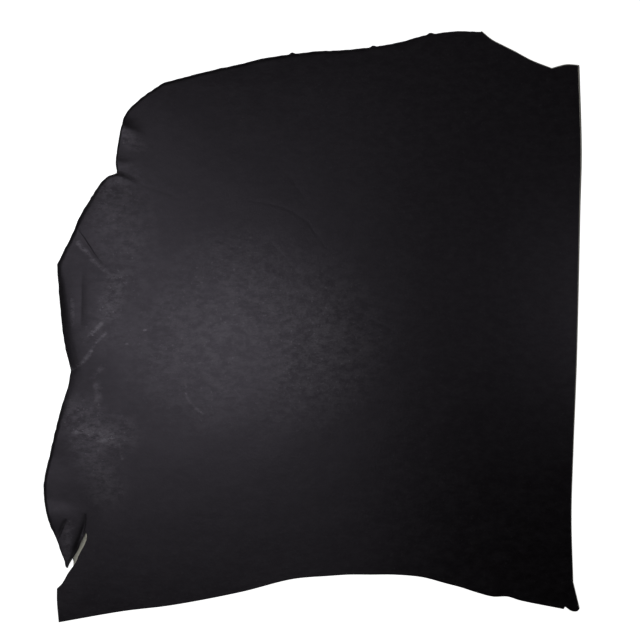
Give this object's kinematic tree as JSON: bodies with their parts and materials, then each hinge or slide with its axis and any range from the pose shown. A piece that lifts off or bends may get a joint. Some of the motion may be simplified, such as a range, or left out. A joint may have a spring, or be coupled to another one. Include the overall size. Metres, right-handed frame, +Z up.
{
  "type": "leather shoulder",
  "caption": "Flat shoulder cut of black leather with natural neck and belly edges, straight and curved knife cuts and a torn slit, lying grain side up.",
  "frame": {"origin": "middle of the hide's outline box, on the surface that the flesh side rests on", "axes": "+Z up out of the grain side, +Y along the hide's length towards its neck end, +X across it towards the straight cut"},
  "size_m": [0.8604, 0.9454, 0.0071],
  "materials": {
    "black_leather": "drum-dyed black grain, semi-matte, with a pale raw edge where it was cut"
  },
  "bodies": {
    "root": {"leather_shoulder": "black_leather"}
  },
  "joints": []
}
